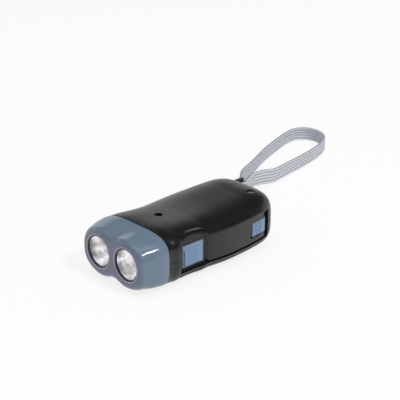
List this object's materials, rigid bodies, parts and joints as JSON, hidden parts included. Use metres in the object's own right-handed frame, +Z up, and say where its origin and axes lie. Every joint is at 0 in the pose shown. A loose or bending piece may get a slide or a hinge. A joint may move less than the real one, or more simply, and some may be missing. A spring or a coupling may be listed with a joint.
{
  "type": "hand crank flashlight",
  "caption": "Palm-sized squeeze-dynamo torch: waisted body, lamp head, generator lever along one side, slide switch, lever lock and a flat woven wrist strap.",
  "frame": {"origin": "on the table, under the middle of the rigid torch from the lamp end to the strap lug", "axes": "+Y from the lamps to the strap, +X towards the side with the squeeze lever, +Z up"},
  "size_m": [0.1113, 0.2424, 0.0309],
  "materials": {
    "black_plastic": "semi-gloss moulded plastic",
    "grey_plastic": "satin moulded plastic",
    "head_plastic": "glossy blue-grey moulded plastic",
    "button_plastic": "light blue moulded plastic",
    "clear_lens": "clear polished plastic",
    "reflector_metal": "bright metallised",
    "led_resin": "clear resin dome",
    "steel": "plain steel",
    "spring_steel": "drawn wire",
    "gear_plastic": "natural moulded acetal",
    "magnet": "sintered ferrite",
    "core_steel": "stamped steel laminations",
    "copper_winding": "enamelled copper wire",
    "cell_can": "nickel-plated can",
    "circuit_board": "green laminate",
    "component_black": "moulded component case",
    "red_wire": "vinyl insulation",
    "blue_wire": "vinyl insulation",
    "strap_fabric": "ribbed woven band"
  },
  "bodies": {
    "housing": {"upper_housing": "black_plastic", "lower_housing": "black_plastic", "lamp_head": "head_plastic", "lens_left": "clear_lens", "lens_right": "clear_lens", "reflector_left": "reflector_metal", "reflector_right": "reflector_metal", "led_left": "led_resin", "led_right": "led_resin", "led_board": "circuit_board", "switch_body": "steel", "lever_pin": "steel", "return_spring": "spring_steel", "first_gear_axle": "steel", "second_gear_axle": "steel", "stator_core": "core_steel", "stator_coil": "copper_winding", "button_cell_1": "cell_can", "button_cell_2": "cell_can", "button_cell_3": "cell_can", "rectifier_board": "circuit_board", "capacitor": "component_black", "coil_wire": "blue_wire", "battery_wire": "red_wire", "lamp_wire": "blue_wire", "switch_wire": "red_wire", "front_screw": "steel", "rear_screw": "steel", "strap_fold": "strap_fabric", "wrist_strap": "strap_fabric"},
    "lever": {"squeeze_lever": "grey_plastic"},
    "lock": {"lock_slider": "button_plastic"},
    "switch": {"switch_slider": "button_plastic", "switch_knob": "component_black"},
    "first_gear": {"first_gear": "gear_plastic"},
    "second_gear": {"second_gear": "gear_plastic"},
    "rotor": {"rotor_shaft": "steel", "flywheel": "steel", "ring_magnet": "magnet"}
  },
  "joints": [
    {"name": "rotor_spin", "type": "hinge", "parent": "housing", "child": "rotor", "pos_m": [-0.00565, 0.03249, 0.012], "axis": [0, 0, 1], "range_deg": [0, 1166.4]},
    {"name": "lever_hinge", "type": "hinge", "parent": "housing", "child": "lever", "pos_m": [0.0195, -0.00385, 0.0153], "axis": [0, 0, -1], "range_deg": [0, 18]},
    {"name": "first_gear_spin", "type": "hinge", "parent": "housing", "child": "first_gear", "pos_m": [-0.00475, 0.01015, 0.016], "axis": [0, 0, 1], "range_deg": [0, 108]},
    {"name": "second_gear_spin", "type": "hinge", "parent": "housing", "child": "second_gear", "pos_m": [-0.01165, 0.0221, 0.0196], "axis": [0, 0, -1], "range_deg": [0, 388.8]},
    {"name": "switch_slide", "type": "slide", "parent": "housing", "child": "switch", "axis": [0, -1, 0], "range_m": [0, 0.0017]},
    {"name": "lock_slide", "type": "slide", "parent": "lever", "child": "lock", "axis": [0, -1, 0], "range_m": [0, 0.0015]}
  ],
  "couplings": [
    {"joint": "lever_hinge", "follows": "rotor_spin", "ratio": 0.015432},
    {"joint": "first_gear_spin", "follows": "rotor_spin", "ratio": 0.092593},
    {"joint": "second_gear_spin", "follows": "rotor_spin", "ratio": 0.33333}
  ]
}
